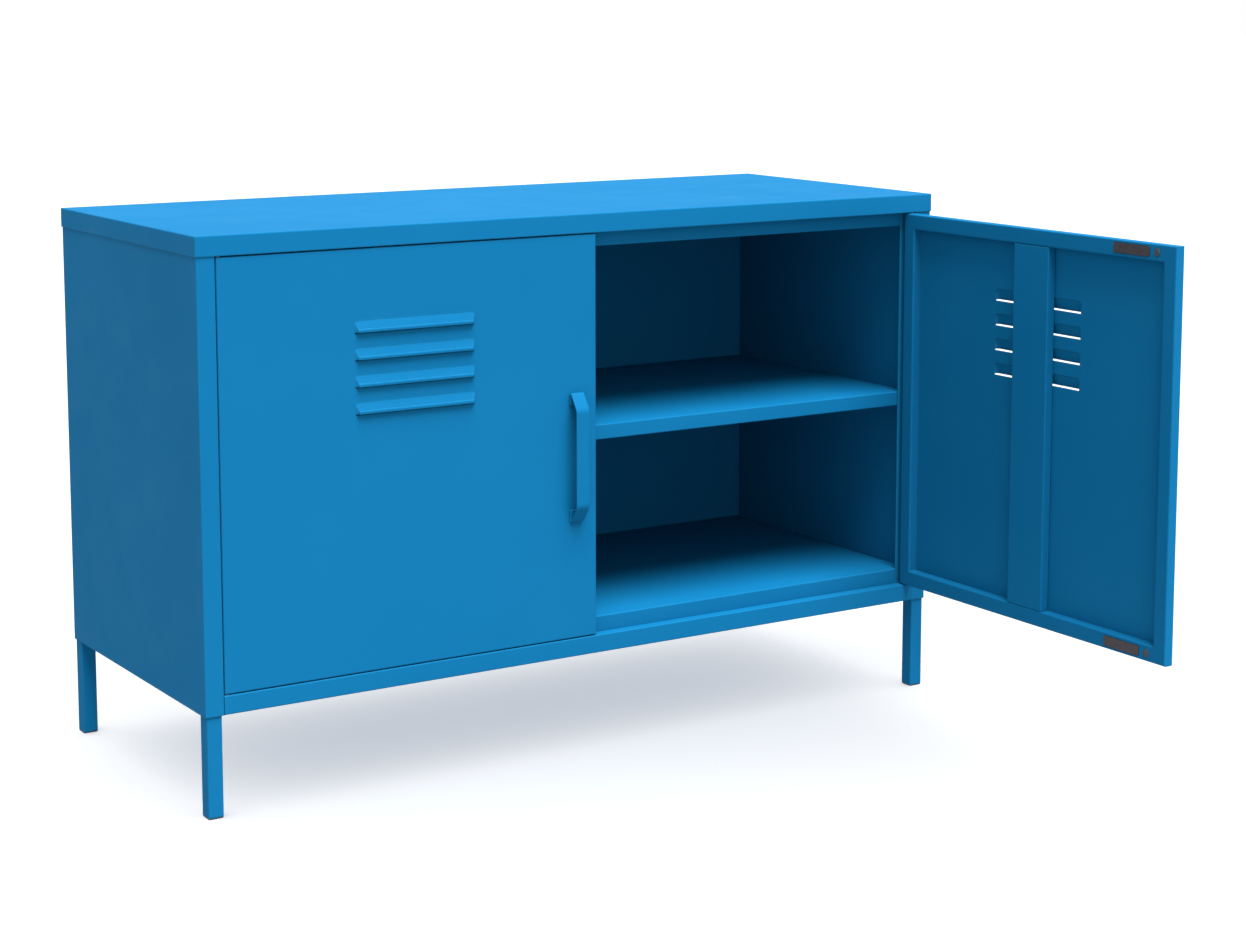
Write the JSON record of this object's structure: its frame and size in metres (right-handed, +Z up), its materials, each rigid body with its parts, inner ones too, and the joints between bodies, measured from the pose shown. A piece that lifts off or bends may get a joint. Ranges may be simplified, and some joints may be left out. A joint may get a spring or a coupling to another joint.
{
  "type": "steel sideboard",
  "caption": "Low locker-style steel sideboard on square tube legs, with louvred swing doors, strap handles and a full-width shelf.",
  "frame": {"origin": "on the floor, in the middle of the outline with the left door shut and the right door open at a right angle", "axes": "+X from left to right seen from the front, +Y from the front to the back (the doors face -Y), +Z up"},
  "size_m": [1.0024, 0.8712, 0.6408],
  "materials": {
    "blue_powder_coat": "satin powder coat",
    "zinc_plated_steel": "zinc plated",
    "brown_magnet": "matt",
    "dark_rubber": "matt",
    "black_plastic": "matt",
    "dark_nylon": "matt"
  },
  "bodies": {
    "carcass": {"top_panel": "blue_powder_coat", "side_panel_left": "blue_powder_coat", "side_panel_right": "blue_powder_coat", "side_liner_left": "blue_powder_coat", "side_liner_right": "blue_powder_coat", "back_panel": "blue_powder_coat", "floor_panel": "blue_powder_coat", "front_rail": "blue_powder_coat", "header_rail": "blue_powder_coat", "door_stop_upper": "blue_powder_coat", "shelf": "blue_powder_coat", "shelf_bracket_left": "blue_powder_coat", "shelf_bracket_right": "blue_powder_coat", "leg_front_left": "blue_powder_coat", "leg_front_right": "blue_powder_coat", "leg_rear_left": "blue_powder_coat", "leg_rear_right": "blue_powder_coat", "foot_glide_front_left": "black_plastic", "foot_glide_front_right": "black_plastic", "foot_glide_rear_left": "black_plastic", "foot_glide_rear_right": "black_plastic", "leg_bolt_front_left": "zinc_plated_steel", "leg_bolt_front_right": "zinc_plated_steel", "leg_bolt_rear_left": "zinc_plated_steel", "leg_bolt_rear_right": "zinc_plated_steel", "back_screw_lower_left": "zinc_plated_steel", "back_screw_upper_left": "zinc_plated_steel", "back_screw_lower_right": "zinc_plated_steel", "back_screw_upper_right": "zinc_plated_steel", "hinge_bush_lower_left": "dark_nylon", "hinge_bush_upper_left": "dark_nylon", "hinge_bush_lower_right": "dark_nylon", "hinge_bush_upper_right": "dark_nylon"},
    "left_door": {"door_left": "blue_powder_coat", "door_stiffener_left": "blue_powder_coat", "handle_left": "blue_powder_coat", "handle_screw_lower_left": "blue_powder_coat", "handle_screw_upper_left": "blue_powder_coat", "hinge_pin_lower_left": "zinc_plated_steel", "hinge_pin_upper_left": "zinc_plated_steel", "magnet_lower_left": "brown_magnet", "magnet_upper_left": "brown_magnet", "bumper_lower_left": "dark_rubber", "bumper_upper_left": "dark_rubber"},
    "right_door": {"door_right": "blue_powder_coat", "door_stiffener_right": "blue_powder_coat", "handle_right": "blue_powder_coat", "handle_screw_lower_right": "blue_powder_coat", "handle_screw_upper_right": "blue_powder_coat", "hinge_pin_lower_right": "zinc_plated_steel", "hinge_pin_upper_right": "zinc_plated_steel", "magnet_lower_right": "brown_magnet", "magnet_upper_right": "brown_magnet", "bumper_lower_right": "dark_rubber", "bumper_upper_right": "dark_rubber"}
  },
  "joints": [
    {"name": "left_door_hinge", "type": "hinge", "parent": "carcass", "child": "left_door", "pos_m": [-0.4734, 0.03725, 0.3775], "axis": [0, 0, 1], "range_deg": [-100, 0]},
    {"name": "right_door_hinge", "type": "hinge", "parent": "carcass", "child": "right_door", "pos_m": [0.4734, 0.03725, 0.3775], "axis": [0, 0, 1], "range_deg": [-90, 10]}
  ]
}
